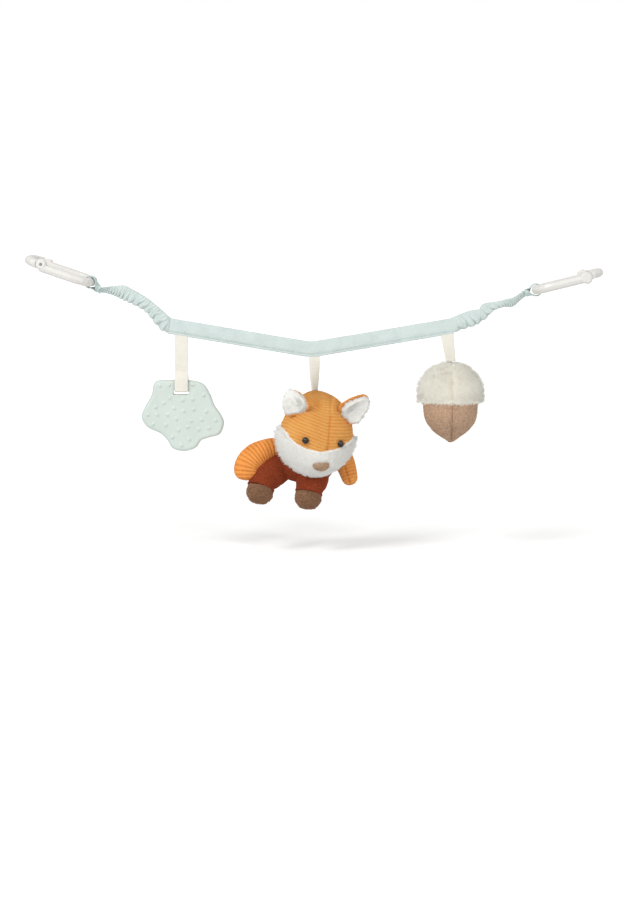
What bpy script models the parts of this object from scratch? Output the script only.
"""A pram chain toy: a fabric strap with elastic ends, two gated clips and three hanging toys.

Metres, +Z up. The origin is the middle of the strap, at its kink. The chain runs along X and its
front faces -Y. Every moving piece hangs from an empty on its joint's axis.
"""

import math
from dataclasses import dataclass

import bmesh
import bpy
from mathutils import Matrix, Vector

MM = 0.001
X_AXIS = Vector((1, 0, 0))
Y_AXIS = Vector((0, 1, 0))
Z_AXIS = Vector((0, 0, 1))

# Fits
SEAT_GAP = 0.3 * MM
OVERRUN = 20 * MM
SIDES_PER_TURN = 24


@dataclass
class Strap:
    """The flat band: two straight runs that meet at a low kink in the middle."""

    half_span: float = 112.8 * MM
    width: float = 12.6 * MM
    thickness: float = 2.4 * MM
    seam_thickness: float = 1.5 * MM
    seam_width: float = 2.2 * MM
    rise: float = 19 * MM
    kink_radius: float = 9 * MM

    @property
    def slope(self):
        return math.atan2(self.rise, self.half_span)


@dataclass
class Clip:
    """The oval link, in its own frame: X from the closed end to the gate, Y across, Z its normal."""

    length: float = 51 * MM
    width: float = 35 * MM
    bar_radius: float = 3.7 * MM
    corner_radius: float = 12 * MM
    inner_flat: float = 3.1 * MM
    hinge_along: float = 38.5 * MM
    hinge_lift: float = 2.4 * MM
    gate_lift: float = 1.6 * MM
    knuckle_radius: float = 4.5 * MM
    knuckle_width: float = 6.9 * MM
    rim_round: float = 1.3 * MM
    latch_along: float = 40.6 * MM
    latch_radius: float = 4.9 * MM
    latch_back: float = 5 * MM
    tongue_width: float = 2.5 * MM
    tongue_height: float = 3.6 * MM
    tongue_end: float = 47.6 * MM
    pin_radius: float = 0.85 * MM
    pin_clearance: float = 0.25 * MM
    snap_ridge: float = 0.2 * MM
    running_gap: float = 0.35 * MM


@dataclass
class ClipPlace:
    """Where the closed-end bar of one clip lies, and how the clip leans."""

    bar_x: float
    bar_z: float
    tilt: float
    roll: float
    heading: float
    neck_drop: float


@dataclass
class EndLoop:
    """The ribbon round a clip's closed-end bar. Its two strands turn a quarter and meet at a neck."""

    width: float = 8 * MM
    thickness: float = 1 * MM
    reach: float = 9 * MM
    neck_width: float = 4.8 * MM
    neck_length: float = 2.6 * MM
    crossing: float = 1.7 * MM


@dataclass
class Elastic:
    """The gathered casing and the flat elastic band inside it."""

    band_width: float = 3 * MM
    band_thickness: float = 0.9 * MM
    depth: float = 5 * MM
    end_depth: float = 3.4 * MM
    fold_depth: float = 0.75 * MM


@dataclass
class Tape:
    """A cotton tape sewn by its top edge into the strap's lower seam."""

    x: float
    length: float
    top_width: float
    bottom_width: float
    lean: float
    twist: float
    thickness: float = 1.6 * MM


@dataclass
class Star:
    """The silicone teether: a rounded five-lobed plate with a slot for its tape."""

    centre_x: float = -102.4 * MM
    centre_z: float = -53 * MM
    width: float = 66 * MM
    height: float = 57.2 * MM
    thickness: float = 8.6 * MM
    edge_round: float = 2.4 * MM
    slot_width: float = 12.8 * MM
    slot_height: float = 3.4 * MM
    slot_drop: float = 10.2 * MM
    slot_x: float = -103.5 * MM
    bump_radius: float = 1.25 * MM
    bump_height: float = 0.75 * MM
    ply: float = 0.8 * MM
    tape_play: float = 1.2 * MM
    hang_gap: float = 0.45 * MM


@dataclass
class Head:
    """The fox's head: an egg of knitted fabric with a mask of white pile. Placed from the tape's foot."""

    x: float = 1.4 * MM
    y: float = -4 * MM
    z: float = -33.8 * MM
    half_width: float = 29.5 * MM
    half_depth: float = 24 * MM
    half_height: float = 33.4 * MM
    mask_puff: float = 1.5 * MM
    mask_radius: float = 35.4 * MM
    mask_x: float = 4.6 * MM
    mask_z: float = 22.6 * MM
    mask_back: float = 7 * MM
    snout: float = 5.5 * MM
    snout_spread: float = 13 * MM
    snout_x: float = 4.5 * MM
    snout_z: float = -24 * MM
    roll: float = 7
    yaw: float = 8


@dataclass
class Face:
    """Eyes and nose, placed across and up from the middle of the head."""

    eye_radius: float = 2.6 * MM
    eye_height: float = -4.4 * MM
    left_eye_x: float = -11.4 * MM
    right_eye_x: float = 17.2 * MM
    nose_half_width: float = 6 * MM
    nose_half_height: float = 3.8 * MM
    nose_half_depth: float = 2.6 * MM
    nose_x: float = 4 * MM
    nose_z: float = -24.4 * MM


@dataclass
class Ear:
    """A leaf of two layers, curved round its length and sewn to the crown, inside the head's own sizes."""

    side_sign: int
    side_inset: float
    front_inset: float
    top_drop: float
    lean: float
    turn: float
    pitch: float
    height: float = 22 * MM
    width: float = 20 * MM
    back_thickness: float = 2.4 * MM
    front_thickness: float = 3.4 * MM
    front_share: float = 0.84
    bow: float = 3.2 * MM


@dataclass
class Acorn:
    """The plush acorn: a domed cap over a tapering nut."""

    cap_half_width: float = 25.6 * MM
    cap_height: float = 32 * MM
    skirt: float = 8 * MM
    nut_half_width: float = 22 * MM
    nut_drop: float = 29.6 * MM
    seat_depth: float = 7 * MM
    flatness_share: float = 0.86


STRAP = Strap()
CLIP = Clip()
END_LOOP = EndLoop()
ELASTIC = Elastic()
STAR = Star()
HEAD = Head()
FACE = Face()
ACORN = Acorn()

CLIP_PLACES = {
    "left": ClipPlace(-175.2 * MM, 53.5 * MM, 18.5, -0.5, 174.5, 41),
    "right": ClipPlace(179 * MM, 47.2 * MM, 14, -1, -5, 17),
}
TAPES = {
    "teether": Tape(-103.2 * MM, 22 * MM, 10.6 * MM, 10 * MM, 0, 0),
    "fox": Tape(2.6 * MM, 25.8 * MM, 8.8 * MM, 8 * MM, 0.4 * MM, 58),
    "acorn": Tape(108.4 * MM, 20.6 * MM, 10.2 * MM, 8.2 * MM, 3 * MM, 12),
}
EARS = {
    "left": Ear(-1, 15.5 * MM, 7 * MM, 17 * MM, -25, -12, 27),
    "right": Ear(1, 6.5 * MM, 14 * MM, 17.4 * MM, 55, 16, 12, height=23 * MM, width=19 * MM),
}

# Along each casing: share of the run outward and of the rise, from the strap's end to the neck
ROUTE_SHARES = {
    "left": ((0, 0), (0.08, 0.09), (0.23, 0.4), (0.36, 0.62), (0.52, 0.8), (0.69, 0.92), (0.86, 0.99), (1, 1)),
    "right": ((0, 0), (0.13, 0.11), (0.29, 0.24), (0.43, 0.34), (0.56, 0.56), (0.72, 0.68), (0.86, 0.78), (1, 1)),
}
# Half width above and below the route, as shares of the strap's half width, at even steps along it
UPPER_SHARES = {
    "left": (0.96, 0.95, 0.9, 0.8, 0.76, 0.78, 0.86, 1.0, 0.66, 0.44, 0.4),
    "right": (0.96, 0.98, 1.0, 0.98, 0.84, 1.12, 0.6, 0.5, 0.48, 0.42, 0.4),
}
LOWER_SHARES = {
    "left": (0.96, 1.08, 1.04, 0.86, 0.84, 0.9, 0.94, 0.82, 0.6, 0.44, 0.4),
    "right": (0.96, 1.0, 1.02, 1.08, 0.76, 0.52, 0.46, 0.44, 0.72, 0.44, 0.4),
}
FOLD_COUNT = {"left": 10, "right": 11}
SIDE_SIGN = {"left": -1, "right": 1}

# The star's outline as shares of its half width and half height, clockwise from its top left corner
STAR_SHARES = (
    (-0.66, 0.95), (-0.3, 1.0), (0.2, 0.99), (0.5, 0.89), (0.67, 0.6), (0.78, 0.28), (0.93, 0.03),
    (1.0, -0.22), (0.9, -0.52), (0.64, -0.62), (0.45, -0.7), (0.32, -0.9), (0.05, -1.0), (-0.24, -0.93),
    (-0.38, -0.69), (-0.55, -0.5), (-0.85, -0.33), (-1.0, -0.04), (-0.9, 0.27), (-0.75, 0.6),
)


# Bumps on the star's faces, as shares of its half width and half height
BUMP_SHARES = (
    (-0.54, 0.84), (-0.32, 0.86), (0.25, 0.87), (0.51, 0.58), (-0.3, 0.5), (0.0, 0.44), (0.25, 0.46),
    (-0.45, 0.36), (-0.65, 0.25), (-0.2, 0.21), (0.03, 0.13), (0.27, 0.18), (0.58, 0.12), (-0.84, 0.03),
    (-0.61, 0.03), (-0.36, 0.03), (-0.15, -0.09), (0.21, -0.14), (0.46, -0.11), (0.8, -0.13),
    (-0.72, -0.24), (-0.41, -0.26), (0.12, -0.31), (-0.1, -0.4), (0.39, -0.38), (0.64, -0.34),
    (-0.25, -0.6), (0.16, -0.66), (-0.03, -0.83),
)


@dataclass
class Limb:
    """A soft limb: route points from the foot of the fox's tape, the half thickness at each, and its hinge."""

    route: tuple
    radii: tuple
    flat_share: float
    swing: tuple


BODY_ROUTE = (
    Vector((-3 * MM, 13 * MM, -38.8 * MM)),
    Vector((-5.8 * MM, 14.8 * MM, -49.4 * MM)),
    Vector((-8.6 * MM, 16.4 * MM, -60.4 * MM)),
    Vector((-11.2 * MM, 17.8 * MM, -72.4 * MM)),
)
BODY_RADII = (14 * MM, 21.4 * MM, 25 * MM, 20 * MM)
BODY_DEPTH_SHARE = 0.66
NECK = Vector((-4 * MM, 10 * MM, -45.8 * MM))
NECK_SWING = (-8, 0, 8)

ARMS = {
    "left": Limb(
        (
            Vector((-22 * MM, 17 * MM, -45.8 * MM)),
            Vector((-36 * MM, 13.5 * MM, -47.8 * MM)),
            Vector((-47 * MM, 9.5 * MM, -52.8 * MM)),
            Vector((-54 * MM, 6 * MM, -60.8 * MM)),
            Vector((-55.4 * MM, 4 * MM, -70.8 * MM)),
        ),
        (6.6 * MM, 8.4 * MM, 10 * MM, 10.2 * MM, 9 * MM),
        0.9,
        (-25, 0, 25),
    ),
    "right": Limb(
        (
            Vector((10 * MM, 18 * MM, -46.8 * MM)),
            Vector((21 * MM, 16 * MM, -50.8 * MM)),
            Vector((26.6 * MM, 12 * MM, -60.8 * MM)),
            Vector((30.4 * MM, 8.5 * MM, -74.8 * MM)),
        ),
        (6.6 * MM, 8.4 * MM, 8.6 * MM, 5.6 * MM),
        0.9,
        (-25, 0, 25),
    ),
}
LEGS = {
    "left": Limb(
        (
            Vector((-25 * MM, 10 * MM, -60.8 * MM)),
            Vector((-35 * MM, 5.5 * MM, -69.8 * MM)),
            Vector((-42.4 * MM, 0.5 * MM, -77.4 * MM)),
        ),
        (12 * MM, 12.4 * MM, 10.2 * MM),
        0.95,
        (-15, 0, 15),
    ),
    "right": Limb(
        (
            Vector((-0.6 * MM, 11 * MM, -64.8 * MM)),
            Vector((-2.8 * MM, 4 * MM, -73.4 * MM)),
            Vector((-5.8 * MM, -2 * MM, -81.2 * MM)),
        ),
        (12.6 * MM, 12.8 * MM, 10.2 * MM),
        0.95,
        (-15, 0, 15),
    ),
}
NECK_DOME = 8 * MM
RUMP_DOME = 13 * MM
HIP_DOME = 6 * MM
FOOT_LENGTH = 15 * MM
FOOT_SWELL = 0.8 * MM


# Scene and materials

def clear_scene():
    for obj in list(bpy.data.objects):
        bpy.data.objects.remove(obj, do_unlink=True)


def make_collection(name):
    made = bpy.data.collections.new(name)
    bpy.context.scene.collection.children.link(made)
    return made


def make_material(name, colour, roughness, metallic=0.0):
    made = bpy.data.materials.new(name)
    made.use_nodes = True
    shader = made.node_tree.nodes["Principled BSDF"]
    shader.inputs["Base Color"].default_value = (*colour, 1)
    shader.inputs["Roughness"].default_value = roughness
    shader.inputs["Metallic"].default_value = metallic
    return made


clear_scene()
PARTS = make_collection("pram_chain_toy")
CUTTERS = make_collection("cutters")
MATERIALS = {
    "mint_cotton": make_material("mint_cotton", (0.56, 0.67, 0.65), 0.9),
    "elastic": make_material("elastic", (0.8, 0.8, 0.77), 0.85),
    "cream_tape": make_material("cream_tape", (0.86, 0.82, 0.71), 0.9),
    "white_plastic": make_material("white_plastic", (0.84, 0.83, 0.8), 0.35),
    "pin_steel": make_material("pin_steel", (0.4, 0.4, 0.42), 0.35, 1.0),
    "mint_silicone": make_material("mint_silicone", (0.66, 0.75, 0.7), 0.5),
    "orange_knit": make_material("orange_knit", (0.81, 0.29, 0.07), 0.95),
    "white_pile": make_material("white_pile", (0.88, 0.87, 0.84), 0.95),
    "rust_velour": make_material("rust_velour", (0.46, 0.08, 0.023), 0.95),
    "taupe_pile": make_material("taupe_pile", (0.25, 0.15, 0.095), 0.95),
    "nose_thread": make_material("nose_thread", (0.33, 0.2, 0.125), 0.8),
    "black_bead": make_material("black_bead", (0.01, 0.009, 0.008), 0.1),
    "cream_pile": make_material("cream_pile", (0.8, 0.73, 0.65), 0.95),
    "tan_pile": make_material("tan_pile", (0.48, 0.3, 0.19), 0.95),
}
JOINT_PLACES = {}


# Objects

def joint(name, place, parent=None):
    """An empty at a place in the world (a point or a matrix), under another joint's empty."""
    world = place if isinstance(place, Matrix) else Matrix.Translation(place)
    made = bpy.data.objects.new(name, None)
    made.empty_display_size = STRAP.width
    PARTS.objects.link(made)
    JOINT_PLACES[name] = world
    if parent:
        made.parent = bpy.data.objects[parent]
        made.matrix_basis = JOINT_PLACES[parent].inverted() @ world
    else:
        made.matrix_basis = world
    return name


def finish_mesh(bm, name):
    bmesh.ops.recalc_face_normals(bm, faces=bm.faces)
    mesh = bpy.data.meshes.new(name)
    bm.to_mesh(mesh)
    bm.free()
    return mesh


def piece(name, mesh, material, under, own_frame=False):
    """A part's object under its joint. The mesh is in world places, or in the joint's own frame."""
    if not own_frame:
        mesh.transform(JOINT_PLACES[under].inverted())
    mesh.materials.append(MATERIALS[material])
    mesh.shade_smooth()
    mesh.set_sharp_from_angle(angle=math.radians(40))
    made = bpy.data.objects.new(name, mesh)
    PARTS.objects.link(made)
    made.parent = bpy.data.objects[under]
    return made


def cutter(name, mesh, place=None, under=None):
    made = bpy.data.objects.new(name, mesh)
    CUTTERS.objects.link(made)
    made.hide_render = True
    made.display_type = "WIRE"
    if under:
        made.parent = bpy.data.objects[under]
    made.matrix_basis = place or Matrix.Identity(4)
    return made


def boolean(target, tool, operation="DIFFERENCE"):
    modifier = target.modifiers.new(f"{operation.lower()} {tool.name}", "BOOLEAN")
    modifier.operation = operation
    modifier.solver = "EXACT"
    modifier.object = tool


# Shapes

def along(values, share):
    """A smooth curve through evenly spaced values, read at a share of its length."""
    last = len(values) - 1
    at = min(int(share * last), last - 1)
    step = share * last - at
    before, start = values[max(at - 1, 0)], values[at]
    end, after = values[at + 1], values[min(at + 2, last)]
    return 0.5 * (
        2 * start
        + (end - before) * step
        + (2 * before - 5 * start + 4 * end - after) * step**2
        + (3 * start - before - 3 * end + after) * step**3
    )


def skin(rings):
    """One closed body through rings of points, with a flat cap on each end."""
    bm = bmesh.new()
    loops = []
    for ring in rings:
        points = [bm.verts.new(point) for point in ring]
        loops.append([bm.edges.new((points[i - 1], points[i])) for i in range(len(points))])
    for loop, following in zip(loops, loops[1:]):
        bmesh.ops.bridge_loops(bm, edges=loop + following)
    for end in (loops[0], loops[-1]):
        bmesh.ops.contextual_create(bm, geom=end)
    return bm


def box_mesh(name, low, high):
    bm = bmesh.new()
    bmesh.ops.create_cube(bm, size=1)
    size = Vector(high) - Vector(low)
    bmesh.ops.scale(bm, vec=size, verts=bm.verts)
    bmesh.ops.translate(bm, vec=(Vector(high) + Vector(low)) / 2, verts=bm.verts)
    return finish_mesh(bm, name)


def cylinder_mesh(name, radius, start, end, sides=SIDES_PER_TURN):
    """A closed cylinder between two points."""
    bm = bmesh.new()
    axis = end - start
    place = Matrix.Translation((start + end) / 2) @ Z_AXIS.rotation_difference(axis).to_matrix().to_4x4()
    bmesh.ops.create_cone(
        bm, cap_ends=True, segments=sides, radius1=radius, radius2=radius, depth=axis.length, matrix=place
    )
    return finish_mesh(bm, name)


def ball_mesh(name, centre, halves, rings=10, sides=16):
    bm = bmesh.new()
    place = Matrix.Translation(centre) @ Matrix.Diagonal((*halves, 1))
    bmesh.ops.create_uvsphere(bm, u_segments=sides, v_segments=rings, radius=1, matrix=place)
    return finish_mesh(bm, name)


def outline_mesh(name, outlines, depth, smooth=False):
    """A plate with the given outlines in XZ, of a depth along Y. The second outline is a hole."""
    curve = bpy.data.curves.new(name, "CURVE")
    curve.dimensions = "2D"
    curve.fill_mode = "BOTH"
    curve.extrude = depth / 2
    curve.resolution_u = 3
    for outline in outlines:
        spline = curve.splines.new("BEZIER" if smooth else "POLY")
        points = spline.bezier_points if smooth else spline.points
        points.add(len(outline) - 1)
        for point, (across, up) in zip(points, outline):
            if smooth:
                point.co = (across, up, 0)
                point.handle_left_type = point.handle_right_type = "AUTO"
            else:
                point.co = (across, up, 0, 1)
        spline.use_cyclic_u = True
    holder = bpy.data.objects.new(name, curve)
    CUTTERS.objects.link(holder)
    bpy.context.view_layer.update()
    mesh = bpy.data.meshes.new_from_object(holder.evaluated_get(bpy.context.evaluated_depsgraph_get()))
    bpy.data.objects.remove(holder)
    bpy.data.curves.remove(curve)
    bm = bmesh.new()
    bm.from_mesh(mesh)
    bmesh.ops.remove_doubles(bm, verts=bm.verts, dist=SEAT_GAP / 30)
    bmesh.ops.rotate(bm, matrix=Matrix.Rotation(math.pi / 2, 3, "X"), verts=bm.verts)
    bpy.data.meshes.remove(mesh)
    return bm


def tube_mesh(name, route, radius):
    """A tube of twelve sides along a route of points, with closed ends."""
    curve = bpy.data.curves.new(name, "CURVE")
    curve.dimensions = "3D"
    curve.bevel_depth = radius
    curve.bevel_resolution = 2
    curve.use_fill_caps = True
    spline = curve.splines.new("POLY")
    spline.points.add(len(route) - 1)
    for point, place in zip(spline.points, route):
        point.co = (*place, 1)
    holder = bpy.data.objects.new(name, curve)
    CUTTERS.objects.link(holder)
    bpy.context.view_layer.update()
    mesh = bpy.data.meshes.new_from_object(holder.evaluated_get(bpy.context.evaluated_depsgraph_get()))
    bpy.data.objects.remove(holder)
    bpy.data.curves.remove(curve)
    bm = bmesh.new()
    bm.from_mesh(mesh)
    bmesh.ops.remove_doubles(bm, verts=bm.verts, dist=SEAT_GAP / 30)
    bpy.data.meshes.remove(mesh)
    return finish_mesh(bm, name)


def frame_along(tangent, reference):
    """A ring's two axes: one near the reference direction, both square to the tangent."""
    tangent = tangent.normalized()
    up = (reference - reference.dot(tangent) * tangent).normalized()
    return tangent.cross(up), up


def soft_form(name, route, radii, flat_share=1.0, start_dome=0.0, end_dome=0.0, steps=7, sides=16, grow=0.0):
    """A stuffed form along a route: it swells with its radii and closes with a dome at each end."""
    length = sum((b - a).length for a, b in zip(route, route[1:]))
    places = []
    dome_steps = 3
    for share, reach in ((0.0, start_dome), (1.0, end_dome)):
        if reach:
            places += [(share, reach, math.cos(math.pi / 2 * (i + 0.35) / dome_steps)) for i in range(dome_steps)]
    start_share, end_share = start_dome / length, 1 - end_dome / length
    shares = [start_share + (end_share - start_share) * i / steps for i in range(steps + 1)]
    rings = []
    for end, reach, turn in sorted(places, key=lambda place: (place[0], -place[2] if not place[0] else place[2])):
        share = start_share * (1 - turn) if not end else end_share + (1 - end_share) * turn
        rings.append((share, math.sqrt(max(1 - turn**2, 0))))
    rings += [(share, 1.0) for share in shares]
    rings.sort()
    built = []
    for share, dome in rings:
        ahead, behind = min(share + 0.02, 1.0), max(share - 0.02, 0.0)
        tangent = along(route, ahead) - along(route, behind)
        across, up = frame_along(tangent, -Y_AXIS)
        centre = along(route, share)
        centre = centre - tangent.normalized() * grow * (share < 0.5) * (1 - dome)
        centre = centre + tangent.normalized() * grow * (share >= 0.5) * (1 - dome)
        radius = along(radii, share) * dome + grow
        built.append(
            [
                centre
                + across * radius * math.cos(2 * math.pi * k / sides)
                + up * (radius - grow) * flat_share * math.sin(2 * math.pi * k / sides)
                + up * grow * math.sin(2 * math.pi * k / sides)
                for k in range(sides)
            ]
        )
    return finish_mesh(skin(built), name)


def turn_about(pivot, angle):
    place = Matrix.Translation(pivot) @ Matrix.Rotation(math.radians(angle), 4, "X")
    return place @ Matrix.Translation(-pivot)


def clear_of(moving, fixed_mesh, turns):
    """Trims a soft piece by all the room that its rounded neighbour takes as their hinges turn."""
    bm = bmesh.new()
    for turn in turns:
        for vert in fixed_mesh.vertices:
            bm.verts.new(turn @ vert.co)
    found = bmesh.ops.convex_hull(bm, input=bm.verts, use_existing_faces=False)
    spare = {item for item in found["geom_interior"] + found["geom_unused"] if isinstance(item, bmesh.types.BMVert)}
    bmesh.ops.delete(bm, geom=list(spare), context="VERTS")
    name = f"{moving.name} room for {fixed_mesh.name}"
    boolean(moving, cutter(name, finish_mesh(bm, name)))


def round_rims(bm, radius, segments):
    """Rounds every edge where a flat face meets a wall."""
    rims = [edge for edge in bm.edges if edge.is_manifold and edge.calc_face_angle(0) > math.radians(60)]
    bmesh.ops.bevel(bm, geom=rims, offset=radius, segments=segments, profile=0.5, affect="EDGES")


# Clips

def clip_path(start_share, end_share):
    """Points round the oval's centre line, from the hinge arm by the closed end to the latch arm."""
    half = CLIP.width / 2
    radius = CLIP.corner_radius
    centres = (
        (CLIP.length - radius, half - radius, 0),
        (radius, half - radius, 90),
        (radius, radius - half, 180),
        (CLIP.length - radius, radius - half, 270),
    )
    points = []
    arc_steps = 5
    for x, y, first in centres:
        for step in range(arc_steps + 1):
            turn = math.radians(first + 90 * step / arc_steps)
            points.append(Vector((x + radius * math.cos(turn), y + radius * math.sin(turn), 0)))
    count = len(points)
    return points[round(start_share * count) : round(end_share * count)]


def clip_tools():
    """The cutters that the frame and the gate of every clip share, as meshes in the clip's frame."""
    half = CLIP.width / 2
    hinge = CLIP.hinge_along
    wide = CLIP.knuckle_width
    lift = CLIP.hinge_lift
    slot = CLIP.tongue_width / 2 + SEAT_GAP
    inner_x = (CLIP.inner_flat, CLIP.length - CLIP.inner_flat)
    inner_y = half - CLIP.inner_flat
    inner_radius = CLIP.corner_radius - CLIP.inner_flat
    corner_steps = 7
    outline = []
    for x, y, first in (
        (inner_x[1] - inner_radius, inner_y - inner_radius, 0),
        (inner_x[0] + inner_radius, inner_y - inner_radius, 90),
        (inner_x[0] + inner_radius, inner_radius - inner_y, 180),
        (inner_x[1] - inner_radius, inner_radius - inner_y, 270),
    ):
        for step in range(corner_steps + 1):
            turn = math.radians(first + 90 * step / corner_steps)
            outline.append((x + inner_radius * math.cos(turn), y + inner_radius * math.sin(turn)))
    opening = outline_mesh("clip opening", [outline], OVERRUN)
    bmesh.ops.rotate(opening, matrix=Matrix.Rotation(-math.pi / 2, 3, "X"), verts=opening.verts)
    return {
        "opening": finish_mesh(opening, "clip opening"),
        "hinge slot": cylinder_mesh(
            "hinge slot",
            CLIP.knuckle_radius + CLIP.running_gap,
            Vector((hinge, half - slot, lift)),
            Vector((hinge, half + slot, lift)),
        ),
        "pin relief": cylinder_mesh(
            "pin relief",
            CLIP.knuckle_radius + CLIP.running_gap,
            Vector((hinge, -half - wide, lift)),
            Vector((hinge, half + wide, lift)),
        ),
        "latch relief": cylinder_mesh(
            "latch relief",
            CLIP.latch_radius + CLIP.running_gap,
            Vector((CLIP.latch_along, -half - wide, 0)),
            Vector((CLIP.latch_along, -half + wide, 0)),
        ),
        "latch slot": box_mesh(
            "latch slot",
            (CLIP.latch_along - 3 * SEAT_GAP, -half - slot, -CLIP.tongue_height / 2 - SEAT_GAP),
            (hinge + OVERRUN, -half + slot, OVERRUN),
        ),
        "pin hole": cylinder_mesh(
            "pin hole",
            CLIP.pin_radius + CLIP.pin_clearance,
            Vector((hinge, half - wide, lift)),
            Vector((hinge, half + wide, lift)),
        ),
    }


def lug_mesh(name, centre, radius, y, low, high):
    """A thin lug with a round end and a neck that runs out into the gate. In the gate's frame."""
    first, last = math.asin(high / radius), 2 * math.pi + math.asin(low / radius)
    steps = 14
    outline = []
    for step in range(steps + 1):
        turn = first + (last - first) * step / steps
        outline.append((centre[0] + radius * math.cos(turn), centre[1] + radius * math.sin(turn)))
    reach = CLIP.tongue_end - CLIP.hinge_along
    outline += [(reach, centre[1] + low), (reach, centre[1] + high)]
    bm = outline_mesh(name, [outline], CLIP.tongue_width)
    bmesh.ops.translate(bm, vec=(0, y, 0), verts=bm.verts)
    return finish_mesh(bm, name)


def housing_mesh(name, radius, centre, back, arm):
    """The round end of one arm, flush with the link's flat inner side, with a pad that runs back."""
    steps = 16
    span = math.pi / 2 if back else math.pi
    outline = []
    for step in range(steps + 1 if back else 2 * steps):
        turn = math.pi / 2 - 2 * span * step / (steps if back else 2 * steps)
        outline.append((centre[0] + radius * math.cos(turn), centre[1] + radius * math.sin(turn)))
    if back:
        foot = CLIP.bar_radius - CLIP.rim_round
        outline += [(centre[0] - back, -foot), (centre[0] - back, foot)]
        outline.append((centre[0] - back + radius - foot, radius))
    bm = outline_mesh(name, [outline], CLIP.knuckle_width)
    round_rims(bm, CLIP.rim_round, 1)
    middle = CLIP.width / 2 - CLIP.inner_flat + SEAT_GAP / 10 + CLIP.knuckle_width / 2
    bmesh.ops.translate(bm, vec=(0, arm * middle, 0), verts=bm.verts)
    return finish_mesh(bm, name)


def build_clip(side, tools):
    """One link: a frame with a forked knuckle and an open latch, a gate, and the gate's pin."""
    place = CLIP_PLACES[side]
    turn = (
        Matrix.Rotation(math.radians(place.heading), 4, "Z")
        @ Matrix.Rotation(math.radians(-place.tilt), 4, "Y")
        @ Matrix.Rotation(math.radians(place.roll), 4, "X")
    )
    world = Matrix.Translation((place.bar_x, 0, place.bar_z)) @ turn
    clip_joint = joint(f"clip_{side}_joint", world, f"loop_{side}_joint")
    half = CLIP.width / 2
    hinge = Vector((CLIP.hinge_along, 0, CLIP.hinge_lift))
    gate_joint = joint(f"gate_{side}_joint", world @ Matrix.Translation(hinge), clip_joint)

    route = [Vector((CLIP.hinge_along, half, 0)), *clip_path(0.25, 0.75)]
    route.append(Vector((CLIP.latch_along, -half, 0)))
    frame = piece(
        f"clip_frame_{side}", tube_mesh("frame", route, CLIP.bar_radius), "white_plastic", clip_joint, True
    )
    knuckle = housing_mesh("knuckle", CLIP.knuckle_radius, (CLIP.hinge_along, CLIP.hinge_lift), 0, 1)
    boolean(frame, cutter(f"{frame.name} knuckle", knuckle, under=clip_joint), "UNION")
    housing = housing_mesh("latch housing", CLIP.latch_radius, (CLIP.latch_along, 0), CLIP.latch_back, -1)
    boolean(frame, cutter(f"{frame.name} latch housing", housing, under=clip_joint), "UNION")
    for tool in ("hinge slot", "latch slot", "pin hole", "opening"):
        boolean(frame, cutter(f"{frame.name} {tool}", tools[tool], under=clip_joint))
    ridge_y = CLIP.tongue_width / 2 + SEAT_GAP + CLIP.snap_ridge / 6
    for arm in (1, -1):
        centre = Vector((CLIP.latch_along + CLIP.tongue_height / 2, -half + arm * ridge_y, 0))
        centre.z = CLIP.tongue_height / 2 + SEAT_GAP / 2 + CLIP.snap_ridge
        reach = X_AXIS * CLIP.tongue_height / 3
        ridge = cylinder_mesh("ridge", CLIP.snap_ridge, centre - reach, centre + reach, 8)
        boolean(frame, cutter(f"{frame.name} snap ridge {arm}", ridge, under=clip_joint), "UNION")

    route = [point for point in clip_path(0.75, 1) + clip_path(0, 0.25) if point.x > CLIP.latch_along]
    route = [Vector((CLIP.latch_along, -half, 0)), *route, Vector((CLIP.hinge_along, half, 0))]
    route = [point + Vector((0, 0, CLIP.gate_lift)) for point in route]
    gate_mesh = tube_mesh("gate", route, CLIP.bar_radius)
    to_gate = Matrix.Translation(-hinge)
    gate_mesh.transform(to_gate)
    gate = piece(f"clip_gate_{side}", gate_mesh, "white_plastic", gate_joint, True)
    for tool in ("pin relief", "latch relief", "opening"):
        boolean(gate, cutter(f"{gate.name} {tool}", tools[tool], to_gate, gate_joint))
    low = CLIP.tongue_height / 2
    drop = CLIP.gate_lift - CLIP.hinge_lift
    tongue = lug_mesh("tongue", (0, 0), CLIP.knuckle_radius, half, drop - low, drop + low)
    boolean(gate, cutter(f"{gate.name} tongue", tongue, under=gate_joint), "UNION")
    tip = (CLIP.latch_along - CLIP.hinge_along + low + SEAT_GAP, -CLIP.hinge_lift)
    finger = lug_mesh("finger", tip, low, -half, -low, low)
    boolean(gate, cutter(f"{gate.name} finger", finger, under=gate_joint), "UNION")
    boolean(gate, cutter(f"{gate.name} pin hole", tools["pin hole"], to_gate, gate_joint))

    inner = half - CLIP.inner_flat
    pin = cylinder_mesh(
        "pin",
        CLIP.pin_radius,
        Vector((CLIP.hinge_along, inner + SEAT_GAP, CLIP.hinge_lift)),
        Vector((CLIP.hinge_along, inner + CLIP.knuckle_width, CLIP.hinge_lift)),
    )
    piece(f"clip_pin_{side}", pin, "pin_steel", clip_joint, True)


# Elastic ends

def neck_direction(side):
    """From the clip's bar towards the casing, square to the bar."""
    place = CLIP_PLACES[side]
    drop = math.radians(place.neck_drop)
    towards = Vector((-SIDE_SIGN[side] * math.cos(drop), 0, -math.sin(drop)))
    bar = bar_direction(side)
    return (towards - towards.dot(bar) * bar).normalized()


def bar_direction(side):
    place = CLIP_PLACES[side]
    turn = Matrix.Rotation(math.radians(place.heading), 3, "Z") @ Matrix.Rotation(
        math.radians(-place.tilt), 3, "Y"
    ) @ Matrix.Rotation(math.radians(place.roll), 3, "X")
    return turn @ Y_AXIS


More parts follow.
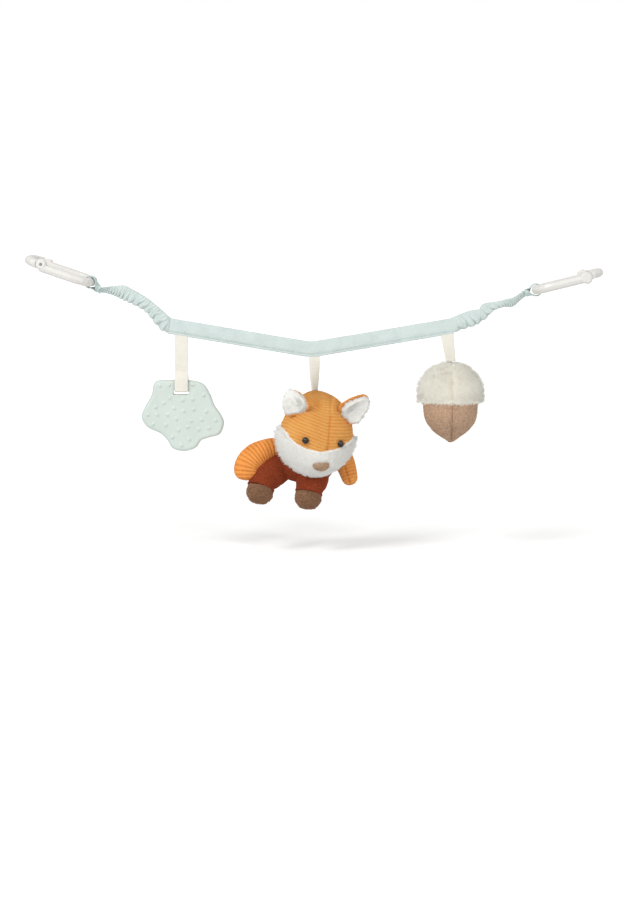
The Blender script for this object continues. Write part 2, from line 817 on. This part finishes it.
def ribbon_stations():
    """(centre, edge, flat, width) along one strand, in axes towards the neck, outward and across."""
    radius = CLIP.bar_radius + SEAT_GAP + END_LOOP.thickness / 2
    across = END_LOOP.crossing / 2
    leave = math.radians(64)
    foot = Vector((radius * math.cos(leave), radius * math.sin(leave)))
    path = [(END_LOOP.reach + END_LOOP.neck_length, 0.0, across, 0.0), (END_LOOP.reach, 0.0, across, 0.0)]
    steps = 7
    for step in range(1, steps):
        share = step / steps
        near = END_LOOP.reach + (foot.x - END_LOOP.reach) * share
        path.append((near, foot.y * share**1.1, across * (1 - share**2), share))
    turns = 7
    for step in range(turns + 1):
        turn = leave + (math.pi - leave) * step / turns
        path.append((radius * math.cos(turn), radius * math.sin(turn), 0.0, 1.0))
    stations = []
    for index, (near, away, side, twist) in enumerate(path):
        before = path[max(index - 1, 0)]
        after = path[index + 1] if index + 1 < len(path) else (near, away - radius)
        heading = Vector((after[0] - before[0], after[1] - before[1], 0)).normalized()
        if index + 1 == len(path):
            heading = Vector((0, -1, 0))
        normal = Vector((heading.y, -heading.x, 0))
        turned_share = min(1.0, twist / 0.85)
        turn = math.pi / 2 * math.sin(math.pi / 2 * turned_share) ** 1.3
        edge = normal * math.cos(turn) - Z_AXIS * math.sin(turn)
        width = END_LOOP.neck_width + (END_LOOP.width - END_LOOP.neck_width) * twist
        stations.append((Vector((near, away, side)), edge, heading.cross(edge), width))
    return stations


def build_end_loop(side):
    """A ribbon round the bar, whose strands turn and meet at a flat stitched neck."""
    place = CLIP_PLACES[side]
    bar = Vector((place.bar_x, 0, place.bar_z))
    slide = joint(f"loop_{side}_joint", bar, "strap_root")
    towards = neck_direction(side)
    outward = bar_direction(side).cross(towards)
    if outward.z < 0:
        outward = -outward
    across = towards.cross(outward)
    to_world = Matrix.Translation(bar) @ Matrix((towards, outward, across)).transposed().to_4x4()
    upper = ribbon_stations()
    half_turn = Matrix.Rotation(math.pi, 3, "X")
    lower = [
        (half_turn @ centre, half_turn @ -edge, half_turn @ flat, width)
        for centre, edge, flat, width in reversed(upper[:-1])
    ]
    half = END_LOOP.thickness / 2
    rings = []
    for centre, edge, flat, width in upper + lower:
        rings.append(
            [
                to_world @ (centre + edge * width / 2 * out + flat * half * deep)
                for out, deep in ((1, 0.4), (0.86, 1), (-0.86, 1), (-1, 0.4),
                                  (-1, -0.4), (-0.86, -1), (0.86, -1), (1, -0.4))
            ]
        )
    ribbon = piece(f"end_loop_{side}", finish_mesh(skin(rings), "ribbon"), "mint_cotton", slide)
    depth = END_LOOP.crossing / 2
    tall = END_LOOP.neck_width * 0.42
    start = END_LOOP.reach - depth
    stitched = box_mesh(
        "stitched neck", (start, -tall, -depth), (start + END_LOOP.neck_length + depth / 2, tall, depth)
    )
    boolean(ribbon, cutter(f"{ribbon.name} neck", stitched, to_world), "UNION")


def casing_route(side):
    """Points from the strap's end to the end loop's tail, both with a seat gap."""
    sign = SIDE_SIGN[side]
    slope = STRAP.slope
    outward = Vector((sign * math.cos(slope), 0, math.sin(slope)))
    start = Vector((sign * STRAP.half_span, 0, STRAP.rise)) + outward * SEAT_GAP
    place = CLIP_PLACES[side]
    towards = neck_direction(side)
    reach = END_LOOP.reach + END_LOOP.neck_length + SEAT_GAP
    end = Vector((place.bar_x, 0, place.bar_z)) + towards * reach
    run, rise = end.x - start.x, end.z - start.z
    points = [Vector((start.x + run * out, end.y * out, start.z + rise * up)) for out, up in ROUTE_SHARES[side]]
    return points, outward, -towards


def route_frames(side, steps, overrun=0.0):
    """(share, centre, up) at even steps of a casing, square to its ends."""
    points, first, last = casing_route(side)
    frames = []
    for step in range(steps + 1):
        share = step / steps
        tangent = along(points, min(share + 0.03, 1)) - along(points, max(share - 0.03, 0))
        tangent.normalize()
        start_pull = max(0.0, 1 - share * 6)
        end_pull = max(0.0, 1 - (1 - share) * 6)
        tangent = (tangent * (1 - start_pull) + first * start_pull).normalized()
        tangent = (tangent * (1 - end_pull) + last * end_pull).normalized()
        up = tangent.cross(Y_AXIS) if tangent.x < 0 else Y_AXIS.cross(-tangent)
        up.normalize()
        if up.z < 0:
            up = -up
        centre = along(points, share)
        if overrun and step == 0:
            frames.append((share, centre - tangent * overrun, up))
        frames.append((share, centre, up))
        if overrun and step == steps:
            frames.append((share, centre + tangent * overrun, up))
    return frames


def flat_rings(frames, width, thickness):
    rings = []
    for _, centre, up in frames:
        rings.append(
            [
                centre + up * width / 2 * vertical + Y_AXIS * thickness / 2 * deep
                for vertical, deep in ((1, 1), (1, -1), (-1, -1), (-1, 1))
            ]
        )
    return rings


def build_elastic(side):
    """The flat band, and the casing that gathers over it in folds deepest at the lower edge."""
    band = skin(flat_rings(route_frames(side, 20), ELASTIC.band_width, ELASTIC.band_thickness))
    piece(f"elastic_band_{side}", finish_mesh(band, "band"), "elastic", "strap_root")

    steps = 40
    sides = 12
    half = STRAP.width / 2
    rings = []
    for share, centre, up in route_frames(side, steps):
        above = along(UPPER_SHARES[side], share) * half
        below = along(LOWER_SHARES[side], share) * half
        fade = min(1.0, share * 8, (1 - share) * 8)
        fold = ELASTIC.fold_depth * fade * math.cos(2 * math.pi * FOLD_COUNT[side] * share)
        depth = ELASTIC.depth / 2 * (1 - share) + ELASTIC.end_depth / 2 * share
        depth = depth * fade + STRAP.thickness * (1 - fade) * (share < 0.5) + depth * (1 - fade) * (share >= 0.5)
        ring = []
        for k in range(sides):
            turn = 2 * math.pi * k / sides
            height, deep = math.sin(turn), math.cos(turn)
            reach = above if height > 0 else below
            lower = 0.5 - 0.5 * height
            ring.append(
                centre
                + up * (reach * height - fold * lower * (height < 0.5))
                + Y_AXIS * (depth * deep + 0.6 * fold * deep)
            )
        rings.append(ring)
    casing = piece(f"elastic_casing_{side}", finish_mesh(skin(rings), "casing"), "mint_cotton", "strap_root")
    tunnel = skin(
        flat_rings(
            route_frames(side, 20, OVERRUN / 8),
            ELASTIC.band_width + 2 * SEAT_GAP,
            ELASTIC.band_thickness + 2 * SEAT_GAP,
        )
    )
    boolean(casing, cutter(f"{casing.name} tunnel", finish_mesh(tunnel, "tunnel")))


# Strap and tapes

def strap_section():
    """(height, half thickness) down the band: a soft swell, then the flat sewn seam at the foot."""
    half = STRAP.width / 2
    body, seam = STRAP.thickness / 2, STRAP.seam_thickness / 2
    seam_top = STRAP.seam_width - half
    middle = (half + seam_top) / 2
    reach = (half - seam_top) / 2
    points = []
    for share in (1, 0.8, 0.35, -0.35, -0.8, -1):
        points.append((middle + reach * share, seam + (body - seam) * math.sqrt(1 - 0.98 * share**2)))
    points.append((-half, seam))
    return points


def build_strap():
    """The band, swept through two straight runs and the round of the kink."""
    slope = STRAP.slope
    section = strap_section()
    stations = []
    for share in (-1, -0.66, -0.33):
        run = STRAP.half_span * share
        stations.append((Vector((run, 0, -run * math.tan(slope))), -slope))
    for share in (-1, -0.5, 0, 0.5, 1):
        turn = slope * share
        run = STRAP.kink_radius * math.sin(turn)
        lift = STRAP.kink_radius * (1 - math.cos(turn))
        stations.append((Vector((run, 0, lift)), turn))
    for share in (0.33, 0.66, 1):
        run = STRAP.half_span * share
        stations.append((Vector((run, 0, run * math.tan(slope))), slope))
    rings = []
    for centre, turn in stations:
        up = Vector((-math.sin(turn), 0, math.cos(turn)))
        front = [centre + up * height - Y_AXIS * half for height, half in section]
        back = [centre + up * height + Y_AXIS * half for height, half in reversed(section)]
        rings.append(front + back)
    piece("strap_band", finish_mesh(skin(rings), "strap"), "mint_cotton", "strap_root")


def strap_edge(x):
    """The height of the strap's lower edge at a place along it, and the slope there."""
    slope = STRAP.slope
    sign = -1 if x < 0 else 1
    if abs(x) < STRAP.kink_radius:
        return -STRAP.width / 2, 0.0
    return abs(x) * math.tan(slope) - STRAP.width / 2 / math.cos(slope), sign * slope


def hanger_axis(name):
    """The middle of a tape's top edge, which is its swing axis, and the slope of that axis."""
    tape = TAPES[name]
    edge, slope = strap_edge(tape.x)
    return Vector((tape.x, 0, edge - (SEAT_GAP + tape.thickness / 2) / math.cos(slope))), slope


def shear_to_edge(bm, top, slope, fade):
    """Slants the top of a tape to lie along the strap's edge."""
    for vert in bm.verts:
        near = max(0.0, 1 - (top.z - vert.co.z) / fade) if vert.co.z < top.z else 1.0
        vert.co.z += (vert.co.x - top.x) * math.tan(slope) * near


def build_tape(name):
    """A plain tape with a rounded top edge on its swing axis, tapered, leaning and twisted."""
    tape = TAPES[name]
    top, slope = hanger_axis(name)
    swing = joint(f"{name}_swing", top, "strap_root")
    half = tape.thickness / 2
    levels = [half * math.sin(turn) for turn in (math.pi / 2 * 0.98, math.pi / 3, math.pi / 6)]
    steps = 9
    levels += [-tape.length * step / steps for step in range(steps + 1)]
    rings = []
    for level in levels:
        share = min(max(-level / tape.length, 0.0), 1.0)
        turn = math.radians(tape.twist) * share**1.2
        width = tape.top_width + (tape.bottom_width - tape.top_width) * share
        thick = math.sqrt(max(half**2 - max(level, 0) ** 2, 0.0))
        centre = top + Vector((tape.lean * share, 0, level))
        across = Vector((math.cos(turn), math.sin(turn), 0))
        deep = Vector((-math.sin(turn), math.cos(turn), 0))
        rings.append(
            [
                centre + across * width / 2 * out + deep * thick * back
                for out, back in ((1, 0.5), (0.9, 1), (0, 1), (-0.9, 1), (-1, 0.5),
                                  (-1, -0.5), (-0.9, -1), (0, -1), (0.9, -1), (1, -0.5))
            ]
        )
    bm = skin(rings)
    shear_to_edge(bm, top, slope, tape.length / 2)
    piece(f"{name}_tape", finish_mesh(bm, name), "cream_tape", swing)


# Star teether

def star_slot_z():
    return STAR.centre_z + STAR.height / 2 - STAR.slot_drop


def build_teether_tape():
    """A doubled tape that parts above the star, goes down both faces and through the slot."""
    tape = TAPES["teether"]
    top, slope = hanger_axis("teether")
    swing = joint("teether_swing", top, "strap_root")
    half = tape.thickness / 2
    legs = STAR.thickness / 2 + STAR.tape_play
    slot_z = star_slot_z()
    star_top = STAR.centre_z + STAR.height / 2
    split_z = star_top + STAR.slot_drop / 2
    foot_z = slot_z + STAR.slot_height / 2 - STAR.hang_gap - STAR.ply
    bend = STAR.tape_play
    inner = [(0, split_z), (-legs, star_top), (-legs, foot_z + STAR.ply + bend / 2)]
    inner += [(-legs + bend / 2, foot_z + STAR.ply), (legs - bend / 2, foot_z + STAR.ply)]
    inner += [(legs, foot_z + STAR.ply + bend / 2), (legs, star_top)]
    wide = legs + STAR.ply
    outer = [(-half, split_z + STAR.ply), (-wide, star_top + STAR.ply / 2), (-wide, foot_z + bend)]
    outer += [(-wide + bend, foot_z), (wide - bend, foot_z), (wide, foot_z + bend)]
    outer += [(wide, star_top + STAR.ply / 2), (half, split_z + STAR.ply)]
    crown = [(half * math.cos(turn), top.z + half * math.sin(turn)) for turn in
             (math.pi * step / 8 for step in range(9))]
    bm = outline_mesh("teether tape", [outer + crown, inner], tape.top_width)
    bmesh.ops.rotate(bm, matrix=Matrix.Rotation(math.pi / 2, 3, "Z"), verts=bm.verts)
    bmesh.ops.translate(bm, vec=(tape.x, 0, 0), verts=bm.verts)
    shear_to_edge(bm, top, slope, (top.z - split_z) * 0.9)
    piece("teether_tape", finish_mesh(bm, "teether tape"), "cream_tape", swing)


def build_star():
    """A rounded plate with domed bumps on both faces and a slot through it."""
    slot_z = star_slot_z()
    hang = Vector((STAR.slot_x, 0, slot_z + STAR.slot_height / 2))
    rock = joint("teether_rock", hang, "teether_swing")
    half_width, half_height = STAR.width / 2, STAR.height / 2
    outline = [(across * half_width, up * half_height) for across, up in STAR_SHARES]
    bm = outline_mesh("star", [outline], STAR.thickness, smooth=True)
    round_rims(bm, STAR.edge_round, 2)
    bmesh.ops.translate(bm, vec=(STAR.centre_x, 0, STAR.centre_z), verts=bm.verts)
    star = piece("teether_star", finish_mesh(bm, "star"), "mint_silicone", rock)
    bumps = bmesh.new()
    foot = STAR.thickness / 2 - STAR.bump_height / 5
    for across, up in BUMP_SHARES:
        for face in (-1, 1):
            x, z = STAR.centre_x + across * half_width, STAR.centre_z + up * half_height
            place = Matrix.Translation((x, face * foot, z))
            shape = Matrix.Diagonal((STAR.bump_radius, STAR.bump_height, STAR.bump_radius, 1))
            pole = Matrix.Rotation(math.pi / 2, 4, "X")
            bmesh.ops.create_icosphere(bumps, subdivisions=1, radius=1, matrix=place @ shape @ pole)
    boolean(star, cutter("star bumps", finish_mesh(bumps, "star bumps")), "UNION")
    half_slot = STAR.slot_width / 2
    radius = STAR.slot_height / 2
    outline = []
    for side, first in ((1, -90), (-1, 90)):
        for step in range(7):
            turn = math.radians(first + 30 * step)
            outline.append((side * (half_slot - radius) + radius * math.cos(turn), radius * math.sin(turn)))
    slot = outline_mesh("slot", [outline], OVERRUN)
    bmesh.ops.translate(slot, vec=(STAR.slot_x, 0, slot_z), verts=slot.verts)
    boolean(star, cutter("star slot", finish_mesh(slot, "slot")))


# Fox

def fox_hang():
    """The foot of the fox's tape, which all the fox's places are measured from."""
    tape = TAPES["fox"]
    top, _ = hanger_axis("fox")
    return top + Vector((tape.lean, 0, -tape.length))


def from_hang(route):
    return [point + fox_hang() for point in route]


def head_middle():
    return fox_hang() + Vector((HEAD.x, HEAD.y, HEAD.z))


def head_turn():
    return Matrix.Rotation(math.radians(HEAD.roll), 4, "Y") @ Matrix.Rotation(math.radians(HEAD.yaw), 4, "Z")


def head_form(name, grow=0.0, puff=0.0, snout=True):
    """The egg of the head in world places, grown all round, with the snout pushed out in front."""
    bm = bmesh.new()
    bmesh.ops.create_uvsphere(bm, u_segments=28, v_segments=18, radius=1)
    halves = Vector((HEAD.half_width, HEAD.half_depth, HEAD.half_height))
    for vert in bm.verts:
        unit = vert.co.copy()
        place = Vector((unit.x * halves.x, unit.y * halves.y, unit.z * halves.z))
        place.x *= 1 - 0.05 * abs(unit.z)
        place += unit * (grow + puff)
        if snout and unit.y < 0:
            away = ((place.x - HEAD.snout_x) ** 2 + (place.z - HEAD.snout_z) ** 2) / HEAD.snout_spread**2
            place.y -= HEAD.snout * math.exp(-away) * min(1.0, -unit.y * 3)
        vert.co = place
    bmesh.ops.transform(
        bm, matrix=Matrix.Translation(head_middle()) @ head_turn(), verts=bm.verts
    )
    return finish_mesh(bm, name)


def mask_region(name, shrink):
    """The block outside the mask's round edge and in front of the ears, moved in by a shrink."""
    reach = 2 * HEAD.half_height
    centre = head_middle() + Vector((HEAD.mask_x, 0, HEAD.mask_z))
    block = box_mesh(name, (-reach, -reach, -reach), (reach, HEAD.mask_back - shrink, reach))
    block.transform(Matrix.Translation(head_middle()))
    core = cylinder_mesh(
        f"{name} core", HEAD.mask_radius + shrink, centre - Y_AXIS * reach * 2, centre + Y_AXIS * reach * 2, 40
    )
    solid = cutter(name, block)
    boolean(solid, cutter(f"{name} core", core))
    return solid


def build_head():
    """Crown, muzzle, eyes and nose, all on the head's turn joint."""
    turn = joint("fox_turn", fox_hang(), "fox_swing")
    gap = SEAT_GAP / 2
    crown = piece("fox_crown", head_form("crown"), "orange_knit", turn)
    boolean(crown, mask_region("crown mask", -gap))
    muzzle = piece("fox_muzzle", head_form("muzzle", puff=HEAD.mask_puff), "white_pile", turn)
    boolean(muzzle, mask_region("muzzle mask", gap), "INTERSECT")
    socket = cutter("head seat", head_form("head seat", grow=SEAT_GAP))
    puffed = cutter("muzzle seat", head_form("muzzle seat", grow=SEAT_GAP, puff=HEAD.mask_puff))
    middle = head_middle()

    def on_face(across, up):
        rise = 1 - (across / HEAD.half_width) ** 2 - (up / HEAD.half_height) ** 2
        return middle + head_turn().to_3x3() @ Vector((across, -HEAD.half_depth * math.sqrt(rise), up))

    for side, across in (("left", FACE.left_eye_x), ("right", FACE.right_eye_x)):
        centre = on_face(across, FACE.eye_height)
        eye = ball_mesh("eye", centre, (FACE.eye_radius,) * 3, 8, 14)
        boolean(piece(f"fox_eye_{side}", eye, "black_bead", turn), socket)
    centre = on_face(FACE.nose_x, FACE.nose_z)
    centre.y -= HEAD.snout * 0.95 + HEAD.mask_puff
    halves = (FACE.nose_half_width, FACE.nose_half_depth, FACE.nose_half_height)
    nose = piece("fox_nose", ball_mesh("nose", centre, halves, 8, 18), "nose_thread", turn)
    boolean(nose, puffed)
    return socket


def ear_base(ear):
    across = ear.side_sign * (HEAD.half_width - ear.side_inset)
    return head_middle() + Vector((across, ear.front_inset - HEAD.half_depth, HEAD.half_height - ear.top_drop))


def ear_leaf(name, ear, share, thickness, offset):
    """A leaf plate: broad base, round tip, bowed about its length."""
    half = ear.width / 2 * share
    tall = ear.height * (share + 1) / 2
    outline = ((-1.0, 0.0), (-0.98, 0.3), (-0.74, 0.62), (-0.34, 0.92), (0.0, 1.0),
               (0.34, 0.92), (0.74, 0.62), (0.98, 0.3), (1.0, 0.0), (0.5, -0.12), (-0.5, -0.12))
    bm = outline_mesh(name, [[(across * half, up * tall) for across, up in outline]], thickness, smooth=True)
    bmesh.ops.subdivide_edges(
        bm, edges=[edge for edge in bm.edges if edge.calc_length() > half / 2], cuts=2, use_grid_fill=True
    )
    bmesh.ops.triangulate(bm, faces=bm.faces)
    for vert in bm.verts:
        across = vert.co.x / (ear.width / 2)
        vert.co.y += offset - ear.bow * across**2
    place = (
        Matrix.Translation(ear_base(ear))
        @ Matrix.Rotation(math.radians(ear.lean), 4, "Y")
        @ Matrix.Rotation(math.radians(ear.turn), 4, "Z")
        @ Matrix.Rotation(math.radians(-ear.pitch), 4, "X")
    )
    bmesh.ops.transform(bm, matrix=place, verts=bm.verts)
    return finish_mesh(bm, name)


def build_ears(socket):
    for side, ear in EARS.items():
        back = ear_leaf("ear back", ear, 1.0, ear.back_thickness, ear.back_thickness / 2)
        boolean(piece(f"fox_ear_back_{side}", back, "orange_knit", "fox_turn"), socket)
        offset = -ear.front_thickness / 2 - 2 * SEAT_GAP
        front = ear_leaf("ear front", ear, ear.front_share, ear.front_thickness, offset)
        boolean(piece(f"fox_ear_front_{side}", front, "white_pile", "fox_turn"), socket)


def body_mesh(name, grow=0.0):
    route = from_hang(BODY_ROUTE)
    return soft_form(
        name, route, BODY_RADII, BODY_DEPTH_SHARE, NECK_DOME, RUMP_DOME, steps=6, sides=20, grow=grow
    )


def mask_clearance():
    """The part of the grown head that the mask of pile covers."""
    bm = bmesh.new()
    bm.from_mesh(head_form("mask clearance", grow=SEAT_GAP, puff=HEAD.mask_puff))
    margin = HEAD.mask_puff * 2
    middle = head_middle()
    covered = []
    for vert in bm.verts:
        across, up = vert.co.x - middle.x - HEAD.mask_x, vert.co.z - middle.z - HEAD.mask_z
        outside = math.hypot(across, up) > HEAD.mask_radius - margin
        if outside and vert.co.y < middle.y + HEAD.mask_back + margin:
            covered.append(vert)
    bmesh.ops.delete(bm, geom=[vert for vert in bm.verts if vert not in set(covered)], context="VERTS")
    return finish_mesh(bm, "mask clearance")


def neck_place():
    return fox_hang() + NECK


def clear_head(limb, poses):
    """Trims a soft piece to the crown and to the mask, in every pose between the two."""
    clear_of(limb, head_form("crown clearance", grow=SEAT_GAP, snout=False), poses)
    clear_of(limb, mask_clearance(), poses)


def clear_limb(limb, around, root, swing):
    """Trims a limb to the trunk over its own swing, and to the head over the swings of both."""
    shoulders = [turn_about(root, angle) for angle in swing]
    clear_of(limb, around, shoulders)
    necks = [turn_about(neck_place(), angle) for angle in NECK_SWING]
    clear_head(limb, [shoulder @ neck for shoulder in shoulders for neck in necks])


def build_body():
    """The trunk behind the chin, trimmed to the head over the range of the neck."""
    nod = joint("fox_neck", neck_place(), "fox_turn")
    body = piece("fox_body", body_mesh("body"), "rust_velour", nod)
    clear_head(body, [turn_about(neck_place(), angle) for angle in NECK_SWING])


def build_arms():
    around = body_mesh("arm clearance", SEAT_GAP)
    for side, arm in ARMS.items():
        route = from_hang(arm.route)
        root = route[0]
        swing = joint(f"fox_shoulder_{side}", root, "fox_neck")
        mesh = soft_form(
            "arm", route, arm.radii, arm.flat_share, 0.0, arm.radii[-1], steps=6, sides=14
        )
        limb = piece(f"fox_arm_{side}", mesh, "orange_knit", swing)
        clear_limb(limb, around, root, arm.swing)


def build_legs():
    around = body_mesh("leg clearance", SEAT_GAP)
    for side, leg in LEGS.items():
        route = from_hang(leg.route)
        hip = route[0]
        swing = joint(f"fox_hip_{side}", hip, "fox_neck")
        mesh = soft_form("leg", route, leg.radii, leg.flat_share, HIP_DOME, 0.0, steps=4, sides=16)
        limb = piece(f"fox_leg_{side}", mesh, "rust_velour", swing)
        clear_limb(limb, around, hip, leg.swing)
        arm = ARMS[side]
        sleeve = from_hang(arm.route)
        reaches = [turn_about(sleeve[0], angle) for angle in arm.swing]
        for first, last in ((0, 3), (1, 4), (2, len(sleeve))):
            radii = arm.radii[first:last]
            span = soft_form(
                f"arm {first}", sleeve[first:last], radii, arm.flat_share, radii[0], radii[-1], steps=3,
                sides=14, grow=3 * SEAT_GAP,
            )
            clear_of(limb, span, [turn_about(hip, angle) @ reach for angle in leg.swing for reach in reaches])
        towards = (route[-1] - route[-2]).normalized()
        ankle = route[-1] + towards * SEAT_GAP
        toe = ankle + towards * FOOT_LENGTH
        radius = leg.radii[-1]
        foot = soft_form(
            "foot", (ankle, (ankle + toe) / 2, toe), (radius, radius + FOOT_SWELL, radius), leg.flat_share,
            0.0, radius, steps=2, sides=16,
        )
        piece(f"fox_foot_{side}", foot, "taupe_pile", swing)


# Acorn

def turned(name, profile, material, under, flatness, middle):
    """A body turned from a profile of (radius, height), flattened front to back."""
    bm = bmesh.new()
    points = [bm.verts.new((radius, 0, height)) for radius, height in profile]
    edges = [bm.edges.new(pair) for pair in zip(points, points[1:])]
    bmesh.ops.spin(
        bm, geom=points + edges, cent=(0, 0, 0), axis=Z_AXIS, angle=2 * math.pi, steps=SIDES_PER_TURN,
        use_merge=True,
    )
    bmesh.ops.remove_doubles(bm, verts=bm.verts, dist=SEAT_GAP / 30)
    bmesh.ops.scale(bm, vec=(1, flatness, 1), verts=bm.verts)
    bmesh.ops.translate(bm, vec=middle, verts=bm.verts)
    return piece(name, finish_mesh(bm, name), material, under)


def build_acorn():
    """A domed cap with a seat underneath, and a nut that tapers to a blunt tip."""
    tape = TAPES["acorn"]
    top, _ = hanger_axis("acorn")
    hang = top + Vector((tape.lean, 0, -tape.length))
    turn = joint("acorn_turn", hang, "acorn_swing")
    middle = Vector((hang.x, 0, hang.z - SEAT_GAP))
    wide, tall, skirt = ACORN.cap_half_width, ACORN.cap_height, ACORN.skirt
    nut = ACORN.nut_half_width
    seat = -tall + ACORN.seat_depth
    profile = [(0, 0)]
    for share in (0.16, 0.34, 0.52, 0.68, 0.82, 0.93, 1.0):
        profile.append((wide * share, -(tall - skirt) * (1 - math.sqrt(1 - share**2.3))))
    rim = nut + SEAT_GAP
    profile += [(wide * 0.985, -tall + skirt / 2), (wide * 0.95, -tall + skirt / 6), (wide * 0.92, -tall)]
    profile += [(rim, -tall), (rim, seat), (0, seat)]
    turned("acorn_cap", profile, "cream_pile", turn, ACORN.flatness_share, middle)
    nut_top = seat - SEAT_GAP
    depth = ACORN.nut_drop + ACORN.seat_depth
    profile = [(0, nut_top), (nut, nut_top)]
    profile.append((nut, nut_top - ACORN.seat_depth))
    for share in (0.3, 0.45, 0.6, 0.75, 0.87, 0.95):
        profile.append((nut * (1 - share**2.6) ** 0.62, nut_top - ACORN.seat_depth - ACORN.nut_drop * share))
    profile.append((0, nut_top - depth))
    turned("acorn_nut", profile, "tan_pile", turn, ACORN.flatness_share, middle)


def main():
    joint("strap_root", Vector((0, 0, 0)))
    build_strap()
    for side in CLIP_PLACES:
        build_end_loop(side)
        build_elastic(side)
    tools = clip_tools()
    for side in CLIP_PLACES:
        build_clip(side, tools)
    build_teether_tape()
    build_star()
    build_tape("fox")
    socket = build_head()
    build_ears(socket)
    build_body()
    build_arms()
    build_legs()
    build_tape("acorn")
    build_acorn()


main()
